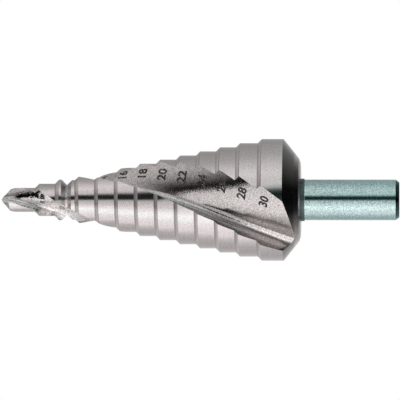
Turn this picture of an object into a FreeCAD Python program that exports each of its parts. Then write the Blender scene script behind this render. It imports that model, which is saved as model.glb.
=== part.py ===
import FreeCAD
import Part

import math
import os

from FreeCAD import Vector

# A two-flute step drill: one ground piece, standing on its shank end with the tip up.
# Millimetres and degrees. +Z is the drill's axis, with the origin at the centre of the shank's end.
# Directions round the axis are counted anticlockwise, as seen from the tip.
Z_AXIS = Vector(0, 0, 1)
CENTRE = Vector(0, 0, 0)
HALF_TURN = 180.0

# Shank and collar
SHANK_DIA = 10.0
SHANK_LENGTH = 23.35
SHANK_CHAMFER_LENGTH = 0.9
SHANK_CHAMFER_DEPTH = 0.65
COLLAR_DIA = 10.5
COLLAR_LENGTH = 0.95

# Back of the head
BACK_FACE_DIA = 18.4
BACK_RIM = 0.35
BACK_RIM_DIA = 20.4
BACK_CONE_LENGTH = 3.85

# Cutting steps, counted from the tip, with what the two largest are longer than the rest
STEP_COUNT = 13
FIRST_DIA = 6.0
DIA_STEP = 2.0
STEP_PITCH = 4.95
FIRST_LAND = 6.4
NEXT_LARGEST_EXTRA = 0.45
LARGEST_EXTRA = 1.45
SHOULDER_HALF_ANGLE = 45.0

# Relief behind the cutting edges: each half of a step is turned a little off the drill's axis
LAND_RELIEF = 0.05
SHOULDER_RELIEF = 0.2
SHOULDER_UNDERLAP = 0.6

# Groove ground round the third step
GROOVED_INDEX = 2
GROOVE_DEPTH = 1.3
GROOVE_WIDTH = 2.6

# Flutes: a spiral of constant helix angle round a cone that clears the steps' corners
FLUTE_COUNT = 2
EDGE_ANGLE_AT_TIP = 104.0
FLUTE_CONE_TIP_RADIUS = 2.59
FLUTE_CONE_SLOPE = 0.193
EDGE_TURN_ANGLE = 137.5
CORE_SLOPE = 0.157
WEB_AT_TIP = 1.2
ROOT_ANGLE = 93.0
TIP_OPENING_ANGLE = 30.0
TIP_OPENING_LENGTH = 28.0
SMALLEST_FILLET = 0.25
FILLET_SHARE = 0.12
FACE_CURVE_SHARE = 1.95
FACE_REACH_SHARE = 1.35
OUTER_RAKE_SHARE = 2.0
OUTER_FACE_SHARE = 1.7
OUTER_SIDE_SHARE = 1.1
FLUTE_SECTIONS = 19
FLUTE_OVERRUN = 1.5
VOID_ANGLE = 64.0

# Point
POINT_ANGLE = 118.0
LIP_RELIEF_ANGLE = 9.0
LIP_OFFSET = 0.15


# Heights and radii of the steps, from the shank's end up to the tip

def step_radius(index):
    return (FIRST_DIA + index * DIA_STEP) / 2.0


def shoulder_length():
    return DIA_STEP / 2.0 / math.tan(math.radians(SHOULDER_HALF_ANGLE))


def point_height():
    return step_radius(0) / math.tan(math.radians(POINT_ANGLE / 2.0))


def head_bottom():
    return SHANK_LENGTH + COLLAR_LENGTH


def land_bottom(index):
    """Height where a step's land stands on the shoulder of the next larger one."""
    height = head_bottom() + BACK_RIM + BACK_CONE_LENGTH + (STEP_COUNT - 1 - index) * STEP_PITCH
    if index <= STEP_COUNT - 2:
        height += LARGEST_EXTRA
    if index <= STEP_COUNT - 3:
        height += NEXT_LARGEST_EXTRA
    return height


def land_top(index):
    """Height of a step's cutting corner."""
    if index == 0:
        return land_bottom(0) + FIRST_LAND
    return land_bottom(index - 1) - shoulder_length()


def tip_height():
    """Height of the tip, which is the whole drill's length."""
    return land_top(0) + point_height()


# The flutes' law

def flute_cone_radius(height):
    return FLUTE_CONE_TIP_RADIUS + FLUTE_CONE_SLOPE * (tip_height() - height)


def edge_angle(height):
    ratio = flute_cone_radius(height) / FLUTE_CONE_TIP_RADIUS
    return EDGE_ANGLE_AT_TIP - EDGE_TURN_ANGLE * math.log(ratio)


def core_radius(height):
    """Radius of the solid core between the flutes: a cone that blends into the web at the tip."""
    return math.hypot(WEB_AT_TIP / 2.0, CORE_SLOPE * (tip_height() - height))


def root_angle(height):
    """Angle between rake face and long face, which opens toward the tip."""
    share = max(0.0, 1.0 - (tip_height() - height) / TIP_OPENING_LENGTH)
    return math.radians(ROOT_ANGLE + TIP_OPENING_ANGLE * share ** 2)


def heading(angle):
    return Vector(math.cos(angle), math.sin(angle), 0)


def face_point(start, begin, bend, length):
    """Point on the long face, an arc that leaves the root fillet and bends round the core."""
    end = begin + length / bend
    offset = Vector(math.sin(end) - math.sin(begin), math.cos(begin) - math.cos(end), 0)
    return start + offset * bend


def flute_section(height):
    """Outline of one flute's empty space: rake face, root fillet, long face and two outer lines."""
    size = flute_cone_radius(height)
    fillet = FILLET_SHARE * size + SMALLEST_FILLET
    bend = FACE_CURVE_SHARE * size
    face_length = FACE_REACH_SHARE * size
    root = root_angle(height)
    corner = Vector(core_radius(height), 0, height)
    corner_cut = fillet / math.tan(root / 2.0)
    fillet_depth = fillet / math.sin(root / 2.0) - fillet
    rake_end = corner + Vector(corner_cut, 0, 0)
    fillet_middle = corner + heading(root / 2.0) * fillet_depth
    face_start = corner + heading(root) * corner_cut
    face_middle = face_point(face_start, root, bend, face_length / 2.0)
    face_outer = face_point(face_start, root, bend, face_length)
    rake_outer = Vector(OUTER_RAKE_SHARE * size, 0, height)
    outside = Vector(OUTER_FACE_SHARE * size, OUTER_SIDE_SHARE * size, height)
    wire = Part.Wire([
        Part.makeLine(rake_outer, rake_end),
        Part.Arc(rake_end, fillet_middle, face_start).toShape(),
        Part.Arc(face_start, face_middle, face_outer).toShape(),
        Part.makeLine(face_outer, outside),
        Part.makeLine(outside, rake_outer),
    ])
    wire.rotate(CENTRE, Z_AXIS, edge_angle(height))
    return wire


def flute_heights():
    """Heights that turn the flute by the same angle from each section to the next."""
    low = SHANK_LENGTH
    high = tip_height() + FLUTE_OVERRUN
    smallest = flute_cone_radius(high)
    growth = flute_cone_radius(low) / smallest
    heights = []
    for index in range(FLUTE_SECTIONS):
        radius = smallest * growth ** (index / (FLUTE_SECTIONS - 1.0))
        heights.append(tip_height() - (radius - FLUTE_CONE_TIP_RADIUS) / FLUTE_CONE_SLOPE)
    return heights


def make_flutes():
    sections = [flute_section(height) for height in flute_heights()]
    first = Part.makeLoft(sections, True, False)
    flutes = []
    for index in range(FLUTE_COUNT):
        flute = first.copy()
        flute.rotate(CENTRE, Z_AXIS, index * 360.0 / FLUTE_COUNT)
        flutes.append(flute)
    return flutes


# The stepped head

def step_half(index):
    """Half of one step: its land and the shoulder above it, each round its own shifted axis.

    The half stands on the -Y side, with its cutting edge near +X."""
    radius = step_radius(index)
    bottom = land_bottom(index) - DIA_STEP
    if index == STEP_COUNT - 1:
        bottom = land_bottom(index)
    top = land_top(index)
    edge_share = math.cos(math.radians(VOID_ANGLE / 2.0))
    land_axis = Vector(LAND_RELIEF, 0, bottom)
    land_radius = radius - LAND_RELIEF * edge_share
    slope = math.tan(math.radians(SHOULDER_HALF_ANGLE))
    rise = (DIA_STEP / 2.0 + SHOULDER_UNDERLAP) / slope
    if index == 0:
        rise = point_height()
    land = Part.makeCylinder(land_radius, top + rise - bottom, land_axis, Z_AXIS, HALF_TURN)
    land.rotate(land_axis, Z_AXIS, HALF_TURN)
    if index == 0:
        return land
    cone_top = radius - (rise * slope) - SHOULDER_RELIEF * edge_share
    depth = top + rise - bottom
    cone_axis = Vector(SHOULDER_RELIEF, 0, bottom)
    cone_bottom = cone_top + depth * slope
    cone = Part.makeCone(cone_bottom, cone_top, depth, cone_axis, Z_AXIS, HALF_TURN)
    cone.rotate(cone_axis, Z_AXIS, HALF_TURN)
    return land.common(cone)


def make_step(index):
    half = step_half(index)
    other = half.copy()
    other.rotate(CENTRE, Z_AXIS, HALF_TURN)
    step = half.fuse(other)
    middle = (land_top(index) + land_bottom(index)) / 2.0
    step.rotate(CENTRE, Z_AXIS, edge_angle(middle) + VOID_ANGLE / 2.0)
    return step


def point_flank(turn):
    """A cone tilted about one cutting lip, so that its surface falls away behind the lip."""
    half_angle = math.radians(POINT_ANGLE / 2.0)
    height = 2.0 * FIRST_LAND
    chisel_drop = LIP_OFFSET / math.tan(half_angle)
    apex = Vector(0, LIP_OFFSET, tip_height() + chisel_drop)
    base = apex - Z_AXIS * height
    cone = Part.makeCone(height * math.tan(half_angle), 0, height, base, Z_AXIS)
    lip = Vector(math.sin(half_angle), 0, -math.cos(half_angle))
    cone.rotate(apex, lip, -LIP_RELIEF_ANGLE)
    cone.rotate(CENTRE, Z_AXIS, edge_angle(tip_height() - point_height() / 2.0) + turn)
    return cone


def make_point_step():
    step = make_step(0)
    for index in range(FLUTE_COUNT):
        step = step.common(point_flank(index * 360.0 / FLUTE_COUNT))
    return step


# Turned parts

def turned(points):
    wire = Part.makePolygon([Vector(radius, 0, height) for radius, height in points])
    return Part.Face(wire).revolve(CENTRE, Z_AXIS, 360)


def make_back():
    """The shank, the collar, the bevelled rim and the cone behind the largest step."""
    shank = SHANK_DIA / 2.0
    collar = COLLAR_DIA / 2.0
    face = BACK_FACE_DIA / 2.0
    rim = BACK_RIM_DIA / 2.0
    largest = step_radius(STEP_COUNT - 1) + LAND_RELIEF
    head = head_bottom()
    cone_top = land_bottom(STEP_COUNT - 1)
    points = [
        (0, 0),
        (shank - SHANK_CHAMFER_DEPTH, 0),
        (shank, SHANK_CHAMFER_LENGTH),
        (shank, SHANK_LENGTH),
        (collar, SHANK_LENGTH),
        (collar, head),
        (face, head),
        (rim, head + BACK_RIM),
        (largest, cone_top),
        (0, cone_top),
        (0, 0),
    ]
    return turned(points)


def make_groove():
    radius = step_radius(GROOVED_INDEX)
    middle = (land_bottom(GROOVED_INDEX) + land_top(GROOVED_INDEX)) / 2.0
    bottom = radius - GROOVE_DEPTH
    outside = radius + GROOVE_DEPTH
    points = [
        (bottom, middle),
        (outside, middle + GROOVE_WIDTH),
        (outside, middle - GROOVE_WIDTH),
        (bottom, middle),
    ]
    return turned(points)


def make_drill():
    head = [make_point_step()] + [make_step(index) for index in range(1, STEP_COUNT)]
    body = make_back().fuse(head)
    body = body.cut(make_groove())
    body = body.removeSplitter()
    for flute in make_flutes():
        body = body.cut(flute)
    return body


def main():
    os.makedirs("parts", exist_ok=True)
    drill = make_drill()
    print("solids", len(drill.Solids), "faces", len(drill.Faces), "valid", drill.isValid())
    solid = drill.Solids[0]
    box = solid.BoundBox
    print("box", box.XLength, box.YLength, box.ZMin, box.ZMax, "volume", solid.Volume)
    solid.exportStep("parts/step_drill.step")


main()
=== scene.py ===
import math

import bpy
import bmesh
from mathutils import Matrix, Vector
from mathutils.bvhtree import BVHTree


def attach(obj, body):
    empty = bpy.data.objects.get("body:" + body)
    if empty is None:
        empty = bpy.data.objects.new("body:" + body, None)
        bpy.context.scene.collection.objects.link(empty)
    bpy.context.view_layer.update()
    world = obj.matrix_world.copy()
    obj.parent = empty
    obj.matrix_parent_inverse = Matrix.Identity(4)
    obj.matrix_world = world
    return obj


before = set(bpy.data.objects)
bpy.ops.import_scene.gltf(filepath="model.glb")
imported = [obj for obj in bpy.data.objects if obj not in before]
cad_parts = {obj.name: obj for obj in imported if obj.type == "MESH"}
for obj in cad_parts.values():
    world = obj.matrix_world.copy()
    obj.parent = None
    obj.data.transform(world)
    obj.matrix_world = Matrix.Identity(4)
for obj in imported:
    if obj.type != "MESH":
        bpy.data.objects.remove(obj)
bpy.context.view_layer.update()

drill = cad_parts["step_drill"]

# sizes of the drill that the finishes and the marks follow, in metres and degrees;
# the flutes turn round a cone that lies along the steps' front corners
drillFacts = {
    "length": 0.098,
    "endBevelTop": 0.0009,
    "shankTop": 0.02335,
    "collarTop": 0.0243,
    "rimTop": 0.02465,
    "backConeTop": 0.0285,
    "thirdLandBottom": 0.0403,  # lower end of the third largest step
    "pitch": 0.00495,
    "lastShoulderDrop": 0.00045,  # the last shoulder stands this far below the even pitch
    "shoulder": 0.001,
    "coneTipRadius": 0.00259,
    "coneSlope": 0.193,
    "edgeAtTip": 104.0,
    "turnPerLogRadius": 137.5,
}


def coneRadius(height):
    return drillFacts["coneTipRadius"] + drillFacts["coneSlope"] * (drillFacts["length"] - height)


def edgeAngle(height):  # where the first flute's cutting edge stands round the axis
    grown = coneRadius(height) / drillFacts["coneTipRadius"]
    return math.radians(drillFacts["edgeAtTip"] - drillFacts["turnPerLogRadius"] * math.log(grown))


# camera: square to the axis but a little from the shank's side, rolled so that the tip points left
cameraFacts = {
    "distance": 1.5,
    "pixelsPerMetre": 4060.0,
    "imageWidth": 400.0,
    "shankEndPixel": 399.3,
    "axisPixel": 199.9,
    "tilt": 2.5,
    "sensor": 36.0,
    "nearClip": 0.01,
    "farClip": 20.0,
}


def makeCamera():
    facts = cameraFacts
    middle = facts["imageWidth"] / 2
    target = Vector((
        (facts["axisPixel"] - middle) / facts["pixelsPerMetre"],
        0,
        (facts["shankEndPixel"] - middle) / facts["pixelsPerMetre"],
    ))
    tilt = math.radians(facts["tilt"])
    right = Vector((0, math.sin(tilt), -math.cos(tilt)))
    up = Vector((1, 0, 0))
    back = right.cross(up)
    data = bpy.data.cameras.new("camera")
    data.sensor_width = facts["sensor"]
    data.lens = facts["sensor"] * facts["distance"] * facts["pixelsPerMetre"] / facts["imageWidth"]
    data.clip_start = facts["nearClip"]
    data.clip_end = facts["farClip"]
    camera = bpy.data.objects.new("camera", data)
    turn = Matrix((right, up, back)).transposed().to_4x4()
    camera.matrix_world = Matrix.Translation(target + back * facts["distance"]) @ turn
    bpy.context.collection.objects.link(camera)
    bpy.context.scene.camera = camera


makeCamera()
print("camera placed")


# small helpers for node trees
class NodeKit:
    def __init__(self, tree):
        self.tree = tree
        tree.nodes.clear()

    def add(self, kind, **values):
        node = self.tree.nodes.new(kind)
        for name, value in values.items():
            setattr(node, name, value)
        return node

    def link(self, source, target):
        self.tree.links.new(source, target)

    def plug(self, socket, value):
        if isinstance(value, (int, float, tuple)):
            socket.default_value = value
        else:
            self.link(value, socket)

    def math(self, operation, first, second=0.0, third=0.0, clamp=False):
        node = self.add("ShaderNodeMath", operation=operation, use_clamp=clamp)
        for socket, value in zip(node.inputs, (first, second, third)):
            self.plug(socket, value)
        return node.outputs[0]

    def product(self, first, *others):
        for other in others:
            first = self.math("MULTIPLY", first, other)
        return first

    def between(self, value, low, high, fromValue=0.0, toValue=1.0):
        node = self.add("ShaderNodeMapRange", interpolation_type="SMOOTHSTEP")
        for name, item in (("Value", value), ("From Min", low), ("From Max", high),
                           ("To Min", fromValue), ("To Max", toValue)):
            self.plug(node.inputs[name], item)
        return node.outputs["Result"]

    def mixNumber(self, share, first, second):
        node = self.add("ShaderNodeMix", data_type="FLOAT")
        self.plug(node.inputs[0], share)
        self.plug(node.inputs[2], first)
        self.plug(node.inputs[3], second)
        return node.outputs[0]

    def mixColour(self, share, first, second, blend="MIX"):
        node = self.add("ShaderNodeMix", data_type="RGBA", blend_type=blend)
        self.plug(node.inputs[0], share)
        self.plug(node.inputs[6], first)
        self.plug(node.inputs[7], second)
        return node.outputs[2]

    def ramp(self, value, stops):
        node = self.add("ShaderNodeValToRGB")
        elements = node.color_ramp.elements
        while len(elements) > 1:
            elements.remove(elements[-1])
        for index, (place, level) in enumerate(stops):
            element = elements[0] if index == 0 else elements.new(place)
            element.position = place
            element.color = (*level, 1) if isinstance(level, tuple) else grey(level)
        self.link(value, node.inputs[0])
        return node.outputs[0]

    def noise(self, vector, scale, detail, roughness):
        node = self.add("ShaderNodeTexNoise")
        self.link(vector, node.inputs["Vector"])
        node.inputs["Scale"].default_value = scale
        node.inputs["Detail"].default_value = detail
        node.inputs["Roughness"].default_value = roughness
        return node.outputs["Fac"]

    def combine(self, x, y, z):
        node = self.add("ShaderNodeCombineXYZ")
        for socket, value in zip(node.inputs, (x, y, z)):
            self.plug(socket, value)
        return node.outputs[0]

    def split(self, vector):
        node = self.add("ShaderNodeSeparateXYZ")
        self.link(vector, node.inputs[0])
        return node.outputs

    def mixShaders(self, share, first, second):
        node = self.add("ShaderNodeMixShader")
        self.link(share, node.inputs[0])
        self.link(first.outputs[0], node.inputs[1])
        self.link(second.outputs[0], node.inputs[2])
        return node

    def output(self, kind, shader):
        self.link(shader.outputs[0], self.add(kind).inputs[0])


def grey(level):
    return (level, level, level, 1)


# studio: brightness by the angle round the drill's axis (0 faces the camera, plus is image up),
# in bands of rise toward the tip: below, low, level, a dim band above, high, and round the back;
# a stop with two levels has red first, then green and blue
studioFacts = {
    "strength": 1.33,
    "below": (
        (-180, 0.5), (-165, 0.5), (-150, 0.5), (-132, 0.42), (-100, 0.45), (-60, 0.62), (-40, 0.8),
        (-20, 1.0), (-8, 1.2), (0, 1.2), (8, 1.05), (15, 0.8), (22, 0.5), (30, 0.34), (60, 0.27),
        (90, 0.2), (110, 0.14), (125, 0.18), (140, 0.24), (155, 0.29), (168, 0.4), (180, 0.5),
    ),
    "low": (
        (-180, 0.45), (-132, 0.35, 0.40), (-109, 0.42, 0.50), (-91, 0.60, 0.65), (-77, 0.80, 0.77),
        (-64, 0.90, 0.83), (-50, 1.0, 0.94), (-44, 1.01, 0.96), (-36, 0.91, 0.86), (-27, 0.74, 0.72),
        (-18, 0.65, 0.65), (-9, 0.52, 0.58), (-5, 0.29, 0.41), (-1, 0.04, 0.10), (4, 0.005, 0.03),
        (9, 0.002, 0.02), (14, 0.005, 0.03), (18, 0.03, 0.07), (23, 0.19, 0.28), (31, 0.48, 0.58),
        (41, 0.46, 0.54), (55, 0.48, 0.56), (68, 0.46, 0.53), (82, 0.42, 0.50), (100, 0.34, 0.43),
        (118, 0.31, 0.40), (140, 0.26, 0.33), (180, 0.45),
    ),
    "level": (
        (-180, 0.50), (-160, 0.44), (-130, 0.37), (-111, 0.41), (-99, 0.51), (-93, 0.61), (-87, 0.72),
        (-75, 0.75), (-63, 0.80, 0.85), (-51, 0.92, 1.0), (-43, 0.93, 1.01), (-33, 0.79, 0.83),
        (-21, 0.61), (-9, 0.48), (-3, 0.40), (0, 0.12), (2, 0.01), (8, 0.002), (15, 0.004), (20, 0.07),
        (24, 0.34), (30, 0.54), (45, 0.61), (53, 0.66), (63, 0.59), (75, 0.50), (87, 0.40), (99, 0.34),
        (117, 0.30), (141, 0.26), (180, 0.30),
    ),
    "dim": (
        (-180, 0.40), (-120, 0.42), (-108, 0.32), (-90, 0.24), (-60, 0.22), (-45, 0.34), (-20, 0.39),
        (0, 0.33), (12, 0.28), (26, 0.36), (40, 0.44), (60, 0.42), (80, 0.38), (100, 0.34),
        (130, 0.30), (180, 0.25),
    ),
    "high": (
        (-110, 0.60), (-90, 0.78), (-60, 0.74), (-40, 0.70), (-20, 0.64), (-6, 0.60), (-2, 0.50),
        (1, 0.004), (18, 0.003), (23, 0.02), (31, 0.08), (42, 0.14), (56, 0.28), (75, 0.39),
        (100, 0.45), (130, 0.43), (160, 0.36),
    ),
    "behind": (
        (-180, 0.42), (-150, 0.42), (-138, 0.40), (-126, 0.44), (-114, 0.42), (-105, 0.5),
        (105, 0.28), (130, 0.37), (150, 0.27), (165, 0.24), (180, 0.32),
    ),
    "behindFrom": (104.0, 112.0),
    # each band takes over from the one before it between these two rises
    "bandEdges": {"low": (-10.0, -3.0), "level": (1.05, 1.3), "dim": (5.0, 11.0), "high": (19.5, 30.5)},
    "edgeShift": 1.0,
    "edgeRise": 28.8,  # the dark edge leans from this rise up to the next
    "edgeTop": 50.0,
    "edgeSlope": 2.9,
    "tipSideFrom": (66.0, 80.0),
    "tipSideLevel": 0.20,
    "shankFade": (
        (0.0, 0.005), (0.20, 0.02), (0.36, 0.26), (0.53, 0.50), (0.64, 0.62), (0.81, 0.85), (1.0, 1.0),
    ),
    "cardLevel": 0.004,
    "backCardAround": (150.0, 170.0),
    "backCardRise": (-37.0, -30.0),
    "frontCardAround": (16.0, 30.0),
    "frontCardRise": (-41.2, -39.2),
}


def studioBand(kit, name, angle):
    share = kit.math("DIVIDE", kit.math("ADD", angle, 180.0), 360.0, clamp=True)
    stops = [((stop[0] + 180) / 360, (stop[1], stop[-1], stop[-1])) for stop in studioFacts[name]]
    return kit.ramp(share, stops)


def fromLeaningEdge(kit, rise, around):  # the high band's dark edge stands upright, then leans over
    facts = studioFacts
    lean = kit.math("SUBTRACT", kit.math("MINIMUM", rise, facts["edgeTop"]), facts["edgeRise"])
    lean = kit.math("MULTIPLY", kit.math("MAXIMUM", lean, 0.0), facts["edgeSlope"])
    return kit.math("ADD", kit.math("ADD", around, facts["edgeShift"]), lean)


def stackBands(kit, rise, around):
    facts = studioFacts
    bands = {name: studioBand(kit, name, around) for name in ("below", "low", "level", "dim", "behind")}
    high = studioBand(kit, "high", fromLeaningEdge(kit, rise, around))
    behindShare = kit.between(kit.math("ABSOLUTE", around), *facts["behindFrom"])
    bands["high"] = kit.mixColour(behindShare, high, bands["behind"])
    level = bands["below"]
    for name, edges in facts["bandEdges"].items():
        level = kit.mixColour(kit.between(rise, *edges), level, bands[name])
    return level


def darkCards(kit, rise, around):  # two dark cards on the shank's side, one behind and one in front
    facts = studioFacts
    aside = kit.math("ABSOLUTE", around)
    backCard = kit.product(
        kit.between(aside, *facts["backCardAround"]),
        kit.between(rise, *facts["backCardRise"], 1.0, 0.0),
    )
    frontCard = kit.product(
        kit.between(aside, *facts["frontCardAround"], 1.0, 0.0),
        kit.between(rise, *facts["frontCardRise"], 1.0, 0.0),
    )
    return kit.math("MAXIMUM", backCard, frontCard)


def makeStudio():
    facts = studioFacts
    world = bpy.data.worlds.new("studio")
    bpy.context.scene.world = world
    world.use_nodes = True
    kit = NodeKit(world.node_tree)
    x, y, z = kit.split(kit.add("ShaderNodeTexCoord").outputs["Generated"])
    degree = 180 / math.pi
    rise = kit.math("MULTIPLY", kit.math("ARCSINE", z), degree)
    around = kit.math("MULTIPLY", kit.math("ARCTAN2", x, kit.math("MULTIPLY", y, -1.0)), degree)
    level = stackBands(kit, rise, around)
    level = kit.mixColour(kit.between(rise, *facts["tipSideFrom"]), level, grey(facts["tipSideLevel"]))
    fromShankSide = kit.math("DIVIDE", kit.math("ADD", rise, 90.0), 90.0, clamp=True)
    level = kit.mixColour(1.0, level, kit.ramp(fromShankSide, facts["shankFade"]), "MULTIPLY")
    level = kit.mixColour(darkCards(kit, rise, around), level, grey(facts["cardLevel"]))
    studio = kit.add("ShaderNodeBackground")
    kit.link(level, studio.inputs["Color"])
    studio.inputs["Strength"].default_value = facts["strength"]
    white = kit.add("ShaderNodeBackground")
    white.inputs["Color"].default_value = grey(1.0)
    seen = kit.add("ShaderNodeLightPath").outputs["Is Camera Ray"]
    kit.output("ShaderNodeOutputWorld", kit.mixShaders(seen, studio, white))
    bpy.context.scene.view_settings.view_transform = "Standard"


makeStudio()
print("studio lit")


# floor: pale, under the shank's end, and clear where it would be seen from below
floorFacts = {"radius": 1.2, "corners": 96, "colour": grey(0.93), "seenLift": 0.42}


def makeFloorPaint():
    material = bpy.data.materials.new("paleFloor")
    material.use_nodes = True
    kit = NodeKit(material.node_tree)
    pale = kit.add("ShaderNodeBsdfDiffuse")
    pale.inputs["Color"].default_value = floorFacts["colour"]
    lift = kit.add("ShaderNodeEmission")
    seen = kit.add("ShaderNodeLightPath").outputs["Is Camera Ray"]
    kit.link(kit.math("MULTIPLY", seen, floorFacts["seenLift"]), lift.inputs["Strength"])
    lifted = kit.add("ShaderNodeAddShader")
    kit.link(pale.outputs[0], lifted.inputs[0])
    kit.link(lift.outputs[0], lifted.inputs[1])
    clear = kit.add("ShaderNodeBsdfTransparent")
    fromBelow = kit.add("ShaderNodeNewGeometry").outputs["Backfacing"]
    kit.output("ShaderNodeOutputMaterial", kit.mixShaders(fromBelow, lifted, clear))
    return material


def makeFloor():
    facts = floorFacts
    shape = bmesh.new()
    bmesh.ops.create_circle(shape, cap_ends=True, radius=facts["radius"], segments=facts["corners"])
    mesh = bpy.data.meshes.new("floor")
    shape.to_mesh(mesh)
    shape.free()
    mesh.materials.append(makeFloorPaint())
    floor = bpy.data.objects.new("floor", mesh)
    bpy.context.collection.objects.link(floor)
    floor.visible_glossy = False


makeFloor()
print("floor laid")


# places on the drill: position, radius, the cone's radius, and the flutes turned straight
def turnedStraight(kit, at, vector):
    rotate = kit.add("ShaderNodeVectorRotate", rotation_type="Z_AXIS")
    kit.link(vector, rotate.inputs["Vector"])
    kit.link(at["turn"], rotate.inputs["Angle"])
    return kit.split(rotate.outputs[0])


def findPlaces(kit):
    coords = kit.add("ShaderNodeTexCoord")
    at = {"place": coords.outputs["Object"], "normal": coords.outputs["Normal"]}
    x, y, z = kit.split(at["place"])
    at["x"], at["y"], at["z"] = x, y, z
    at["radius"] = kit.math("SQRT", kit.math("ADD", kit.product(x, x), kit.product(y, y)))
    belowTip = kit.math("SUBTRACT", drillFacts["length"], z)
    at["cone"] = kit.math("MULTIPLY_ADD", belowTip, drillFacts["coneSlope"], drillFacts["coneTipRadius"])
    at["coneShare"] = kit.math("DIVIDE", at["radius"], at["cone"])
    grown = kit.math("LOGARITHM", kit.math("DIVIDE", at["cone"], drillFacts["coneTipRadius"]), math.e)
    perGrowth = math.radians(drillFacts["turnPerLogRadius"])
    at["turn"] = kit.math("MULTIPLY_ADD", grown, perGrowth, -math.radians(drillFacts["edgeAtTip"]))
    at["straight"] = turnedStraight(kit, at, at["place"])
    at["facing"] = turnedStraight(kit, at, at["normal"])
    return at


# zones of the one solid, from 0 to 1; where two overlap, as collar and shank do,
# the later finish goes over the first
zoneFacts = {
    "turning": 0.10,  # a face whose normal points this much round the axis belongs to a flute
    "deep": 0.70,  # and so does one inside this share of the cone's radius
    "leastRadius": 0.0001,
    "hair": 0.00001,
    "rimFrom": 0.0240,
    "rimFacing": -0.5,
    "shankMargin": 0.0001,
    "shoulderFacing": (0.5, 0.6),
}


def findZones(kit, at):
    facts = zoneFacts
    z = at["z"]
    normalX, normalY, normalZ = kit.split(at["normal"])
    turning = kit.math("SUBTRACT", kit.product(normalX, at["y"]), kit.product(normalY, at["x"]))
    turning = kit.math("DIVIDE", turning, kit.math("MAXIMUM", at["radius"], facts["leastRadius"]))
    turning = kit.math("GREATER_THAN", kit.math("ABSOLUTE", turning), facts["turning"])
    flute = kit.math("MAXIMUM", turning, kit.math("LESS_THAN", at["coneShare"], facts["deep"]))
    flute = kit.product(flute, kit.math("GREATER_THAN", z, drillFacts["rimTop"]))
    outside = kit.math("SUBTRACT", 1.0, flute)
    belowRim = kit.math("LESS_THAN", z, drillFacts["rimTop"] - facts["hair"])
    rim = kit.product(
        kit.math("LESS_THAN", normalZ, facts["rimFacing"]),
        kit.math("GREATER_THAN", z, facts["rimFrom"]),
        belowRim,
    )
    collar = kit.math("SUBTRACT", belowRim, rim)
    return {
        "flute": flute,
        "shoulder": kit.product(kit.between(normalZ, *facts["shoulderFacing"]), outside),
        "back": kit.product(kit.math("LESS_THAN", z, drillFacts["backConeTop"]), outside),
        "rim": rim,
        "collar": collar,
        "grained": kit.math("MAXIMUM", flute, collar),
        "shank": kit.math("LESS_THAN", z, drillFacts["shankTop"] - facts["shankMargin"]),
        "endBevel": kit.math("LESS_THAN", z, drillFacts["endBevelTop"]),
    }


# grain: fine lines round the axis on turned and ground faces, grain along the flutes, and specks
grainFacts = {
    "lineSpacing": 0.00022,
    "lineLength": 0.012,
    "lineNoise": (3.0, 0.6),
    "across": 55.0,
    "along": 260.0,
    "fluteNoise": (4.0, 0.6),
    "speckSize": 0.00030,
    "speckNoise": (2.0, 0.6),
    "tone": (0.25, 0.75, 0.93, 1.0),
    "speckTone": (0.3, 0.7, 0.58, 1.18),
    "smoothSpeckPower": 0.35,
    "lineDepth": 0.0000006,
    "fluteDepth": 0.000004,
    "speckDepth": 0.000014,
    "landSpeckDepth": 0.000003,
    "shankSpeckDepth": 0.0000055,
}


def findGrain(kit, at):
    facts = grainFacts
    linePlace = kit.combine(
        kit.math("DIVIDE", at["x"], facts["lineLength"]),
        kit.math("DIVIDE", at["y"], facts["lineLength"]),
        kit.math("DIVIDE", at["z"], facts["lineSpacing"]),
    )
    flutePlace = kit.combine(
        kit.product(kit.math("DIVIDE", at["straight"][0], at["cone"]), facts["across"]),
        kit.product(kit.math("DIVIDE", at["straight"][1], at["cone"]), facts["across"]),
        kit.product(at["z"], facts["along"]),
    )
    return {
        "lines": kit.noise(linePlace, 1.0, *facts["lineNoise"]),
        "flute": kit.noise(flutePlace, 1.0, *facts["fluteNoise"]),
        "specks": kit.noise(at["place"], 1.0 / facts["speckSize"], *facts["speckNoise"]),
    }


def grainTone(kit, zones, grain):
    facts = grainFacts
    tone = kit.between(kit.mixNumber(zones["flute"], grain["lines"], grain["flute"]), *facts["tone"])
    specks = kit.between(grain["specks"], *facts["speckTone"])
    faint = kit.math("POWER", specks, facts["smoothSpeckPower"])
    return kit.product(tone, kit.mixNumber(zones["grained"], faint, specks))


def grainHeight(kit, zones, grain):
    facts = grainFacts
    speckDepth = kit.mixNumber(zones["grained"], facts["landSpeckDepth"], facts["speckDepth"])
    speckDepth = kit.mixNumber(zones["shank"], speckDepth, facts["shankSpeckDepth"])
    lines = kit.product(grain["lines"], facts["lineDepth"])
    height = kit.mixNumber(zones["flute"], lines, kit.product(grain["flute"], facts["fluteDepth"]))
    return kit.math("MULTIPLY_ADD", grain["specks"], speckDepth, height)


# rake face: darker toward the shank, and painted shadow under the cutting edge along its outer edge,
# except near the tip
rakeFacts = {
    "facing": (0.2, 0.5),  # how much more its normal points sideways than outward
    "heights": (0.035, 0.051),
    "tone": (0.52, 1.1),
    "edge": (0.85, 0.93),
    "edgeShadowHeights": (0.080, 0.086),
    "edgeShadowTone": (0.45, 1.0),
}


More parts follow.
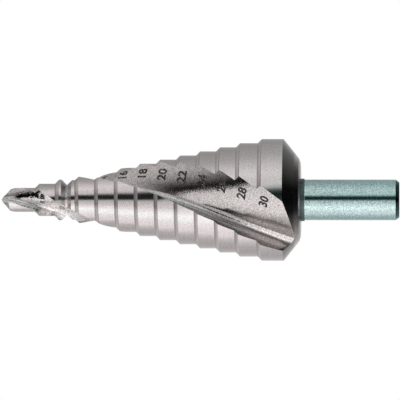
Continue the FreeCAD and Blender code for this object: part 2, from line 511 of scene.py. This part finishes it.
def rakeTone(kit, at, zones):
    facts = rakeFacts
    sideways, outward = at["facing"][1], at["facing"][0]
    onRake = kit.math("SUBTRACT", kit.math("ABSOLUTE", sideways), kit.math("ABSOLUTE", outward))
    onRake = kit.product(kit.between(onRake, *facts["facing"]), zones["flute"])
    tone = kit.between(at["z"], *facts["heights"], *facts["tone"])
    # painted shadow under the cutting edge, faded out toward the tip
    edgeShadowTone = kit.between(at["z"], *facts["edgeShadowHeights"], *facts["edgeShadowTone"])
    edge = kit.between(at["coneShare"], *facts["edge"], 1.0, edgeShadowTone)
    return kit.mixNumber(onRake, 1.0, kit.product(tone, edge))


# shoulders: painted highlight at the outer edge, painted shade in the inner corner
shoulderHighlightAndShade = (1.12, 0.66)


def shoulderTone(kit, at, zones):
    firstUneven = drillFacts["thirdLandBottom"] - drillFacts["pitch"] / 2
    atLast = kit.math("LESS_THAN", at["z"], firstUneven)
    along = kit.math("MULTIPLY_ADD", atLast, drillFacts["lastShoulderDrop"], at["z"])
    along = kit.math("SUBTRACT", along, drillFacts["thirdLandBottom"] - drillFacts["shoulder"])
    along = kit.math("FLOORED_MODULO", along, drillFacts["pitch"])
    # painted shade toward the inner corner, painted highlight toward the outer edge
    tone = kit.between(along, 0.0, drillFacts["shoulder"], *shoulderHighlightAndShade)
    return kit.mixNumber(zones["shoulder"], 1.0, tone)


# painted shade: a dark, ragged patch on the flutes' long face near the tip, with lighter painted shade
# beside it
paintedTipShadeFacts = {
    "lowerEnd": (0.0868, 0.0876),
    "upperEnd": (0.0942, 0.0948),
    "start": 0.355,
    "spread": 40.0,
    "edge": (0.10, 0.15),
    "raggedSize": 0.0005,
    "raggedNoise": (3.0, 0.7),
    "raggedMiddle": 0.5,  # the noise swings round this
    "raggedReach": 0.9,
    "tone": 0.02,
    "shadeNear": (0.0, 0.04),
    "shadeFar": (0.12, 0.36),
    "shadeHeights": (0.0905, 0.0925),
    "sootAndShadeTone": 0.5,
}


def burntTone(kit, at, zones):
    facts = paintedTipShadeFacts
    z = at["z"]
    sideways = kit.math("DIVIDE", kit.math("ABSOLUTE", at["straight"][1]), at["cone"])
    belowEnd = kit.math("SUBTRACT", facts["upperEnd"][0], z)
    middle = kit.math("MULTIPLY_ADD", belowEnd, facts["spread"], facts["start"])
    offMiddle = kit.math("SUBTRACT", sideways, middle)
    ragged = kit.noise(at["place"], 1.0 / facts["raggedSize"], *facts["raggedNoise"])
    ragged = kit.math("SUBTRACT", ragged, facts["raggedMiddle"])
    offPatch = kit.math("MULTIPLY_ADD", ragged, facts["raggedReach"], kit.math("ABSOLUTE", offMiddle))
    shadePatch = kit.product(
        kit.between(offPatch, *facts["edge"], 1.0, 0.0),
        kit.between(z, *facts["lowerEnd"]),
        kit.between(z, *facts["upperEnd"], 1.0, 0.0),
        zones["flute"],
    )
    # lighter painted shade beside the dark patch
    sootAndShade = kit.product(
        kit.between(offMiddle, *facts["shadeNear"]),
        kit.between(offMiddle, *facts["shadeFar"], 1.0, 0.0),
        kit.between(z, *facts["shadeHeights"]),
        zones["flute"],
    )
    return kit.mixNumber(shadePatch, kit.mixNumber(sootAndShade, 1.0, facts["sootAndShadeTone"]), facts["tone"])


# finishes: ground head, darker back cone, brighter rim, collar darkened as painted shade in the corner
# by the shank, bluish shank with a dark bevel
finishFacts = {
    "head": (0.812, 0.738, 0.735, 1),
    "flute": (0.79, 0.735, 0.72, 1),
    "fluteTip": (0.86, 0.815, 0.805, 1),
    "fluteTipHeights": (0.076, 0.082),
    "back": (0.43, 0.43, 0.42, 1),
    "rim": (0.56, 0.53, 0.525, 1),
    "collarShadeLow": (0.15, 0.19, 0.195, 1),
    "collarShadeHigh": (0.12, 0.125, 0.125, 1),
    "shank": (0.63, 0.79, 0.79, 1),
    "endBevel": (0.17, 0.31, 0.32, 1),
    "landRoughness": 0.11,
    "fluteRoughness": 0.085,
    "collarRoughness": 0.30,
    "shankRoughness": 0.11,
}


def zoneColour(kit, at, zones):
    facts = finishFacts
    tipShare = kit.between(at["z"], *facts["fluteTipHeights"])
    flute = kit.mixColour(tipShare, facts["flute"], facts["fluteTip"])
    # painted shade: the collar is darkened where it sits in the corner between shank and head
    upCollar = kit.between(at["z"], drillFacts["shankTop"], drillFacts["collarTop"])
    collar = kit.mixColour(upCollar, facts["collarShadeLow"], facts["collarShadeHigh"])
    colour = kit.mixColour(zones["flute"], facts["head"], flute)
    colour = kit.mixColour(zones["back"], colour, facts["back"])
    colour = kit.mixColour(zones["collar"], colour, collar)
    for name in ("rim", "shank", "endBevel"):
        colour = kit.mixColour(zones[name], colour, facts[name])
    return colour


def zoneRoughness(kit, zones):
    rough = finishFacts["landRoughness"]
    for name in ("flute", "collar", "shank"):
        rough = kit.mixNumber(zones[name], rough, finishFacts[name + "Roughness"])
    return rough


def makeMetal():
    material = bpy.data.materials.new("groundSteel")
    material.use_nodes = True
    kit = NodeKit(material.node_tree)
    at = findPlaces(kit)
    zones = findZones(kit, at)
    grain = findGrain(kit, at)
    shade = kit.product(
        grainTone(kit, zones, grain),
        rakeTone(kit, at, zones),
        shoulderTone(kit, at, zones),
        burntTone(kit, at, zones),
    )
    colour = kit.mixColour(1.0, zoneColour(kit, at, zones), kit.combine(shade, shade, shade), "MULTIPLY")
    bump = kit.add("ShaderNodeBump")
    bump.inputs["Strength"].default_value = 1.0
    bump.inputs["Distance"].default_value = 1.0
    kit.link(grainHeight(kit, zones, grain), bump.inputs["Height"])
    shader = kit.add("ShaderNodeBsdfPrincipled")
    shader.inputs["Metallic"].default_value = 1.0
    kit.link(colour, shader.inputs["Base Color"])
    kit.link(zoneRoughness(kit, zones), shader.inputs["Roughness"])
    kit.link(bump.outputs[0], shader.inputs["Normal"])
    kit.output("ShaderNodeOutputMaterial", shader)
    return material


steel = makeMetal()
for slot in drill.material_slots:
    slot.material = steel
print("metal set")


# size marks: a number for each step after the first, cut dark into the long face of both flutes
markFacts = {
    "firstSize": 8,
    "sizeStep": 2,
    "count": 12,
    "height": 0.00235,
    "smallShare": 0.28,  # near the tip a number is no taller than this share of the cone's radius
    "belowTop": 0.0009,
    "turn": 47.0,  # degrees round from the cutting edge
    "reach": 0.03,  # rays toward the face start this far from the axis
    "alongStep": 0.0015,  # the face's slope is read this far above and below
    "depth": 0.00008,
    "proud": 0.00002,
    "boldness": 0.034,
    "curveSteps": 4,
    "thickness": 0.05,
    "mergeDistance": 0.0000001,
    "sootScale": 3000.0,
    "sootNoise": (3.0, 0.7),
    "sootAndShadeTone": (0.50, 0.68, 0.008, 0.45),
    "roughness": 0.7,
}


def landTop(index):  # upper end of a step's land, counted from the second smallest step
    height = drillFacts["thirdLandBottom"] - drillFacts["shoulder"]
    height += (markFacts["count"] - 1 - index) * drillFacts["pitch"]
    if index == markFacts["count"]:
        height -= drillFacts["lastShoulderDrop"]
    return height


def faceHit(tree, height, turn):
    angle = edgeAngle(height) + math.radians(markFacts["turn"]) + turn
    outward = Vector((math.cos(angle), math.sin(angle), 0))
    start = outward * markFacts["reach"] + Vector((0, 0, height))
    return tree.ray_cast(start, -outward)[:2]


def numberMesh(words, tall):
    facts = markFacts
    curve = bpy.data.curves.new("number", "FONT")
    curve.body = words
    curve.align_x = "CENTER"
    curve.resolution_u = facts["curveSteps"]
    curve.extrude = facts["thickness"]
    curve.offset = facts["boldness"] * (tall / facts["height"]) ** 2
    holder = bpy.data.objects.new("number", curve)
    bpy.context.collection.objects.link(holder)
    graph = bpy.context.evaluated_depsgraph_get()
    mesh = bpy.data.meshes.new_from_object(holder.evaluated_get(graph))
    bpy.data.objects.remove(holder)
    bpy.data.curves.remove(curve)
    tops = [vertex.co.y for vertex in mesh.vertices]
    scale = tall / (max(tops) - min(tops))
    middle = (max(tops) + min(tops)) / 2
    for vertex in mesh.vertices:
        vertex.co.x *= scale
        vertex.co.y = (vertex.co.y - middle) * scale
    return mesh


def addNumber(shape, tree, words, height, turn):
    facts = markFacts
    centre, normal = faceHit(tree, height, turn)
    above = faceHit(tree, height + facts["alongStep"], turn)[0]
    below = faceHit(tree, height - facts["alongStep"], turn)[0]
    along = (above - below).normalized()
    normal = (normal - along * normal.dot(along)).normalized()
    if normal.dot(Vector((centre.x, centre.y, 0))) < 0:
        normal.negate()
    reading = along.cross(normal)
    mesh = numberMesh(words, min(facts["height"], facts["smallShare"] * coneRadius(height)))
    for vertex in mesh.vertices:
        flat = centre + reading * vertex.co.x + along * vertex.co.y
        hit = tree.ray_cast(flat + normal * facts["alongStep"], -normal, 2 * facts["alongStep"])[0]
        offset = facts["proud"] if vertex.co.z > 0 else -facts["depth"]
        vertex.co = (hit or flat) + normal * offset
    shape.from_mesh(mesh)
    bpy.data.meshes.remove(mesh)


def makeMarkBlack():
    facts = markFacts
    material = bpy.data.materials.new("markBlack")
    material.use_nodes = True
    kit = NodeKit(material.node_tree)
    place = kit.add("ShaderNodeTexCoord").outputs["Object"]
    sootAndShade = kit.noise(place, facts["sootScale"], *facts["sootNoise"])
    tone = kit.between(sootAndShade, *facts["sootAndShadeTone"])
    shader = kit.add("ShaderNodeBsdfPrincipled")
    kit.link(kit.combine(tone, tone, tone), shader.inputs["Base Color"])
    shader.inputs["Roughness"].default_value = facts["roughness"]
    kit.output("ShaderNodeOutputMaterial", shader)
    return material


def makeMarks(name, tree, turn, material):
    facts = markFacts
    shape = bmesh.new()
    for index in range(1, facts["count"] + 1):
        size = facts["firstSize"] + facts["sizeStep"] * (index - 1)
        addNumber(shape, tree, str(size), landTop(index) - facts["belowTop"], turn)
    bmesh.ops.remove_doubles(shape, verts=shape.verts, dist=facts["mergeDistance"])
    bmesh.ops.recalc_face_normals(shape, faces=shape.faces)
    mesh = bpy.data.meshes.new(name)
    shape.to_mesh(mesh)
    shape.free()
    mesh.materials.append(material)
    piece = bpy.data.objects.new(name, mesh)
    bpy.context.collection.objects.link(piece)
    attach(piece, "root")


drillSurface = BVHTree.FromObject(drill, bpy.context.evaluated_depsgraph_get())
black = makeMarkBlack()
makeMarks("marksOnFirstFlute", drillSurface, 0.0, black)
makeMarks("marksOnSecondFlute", drillSurface, math.pi, black)
print("marks cut")
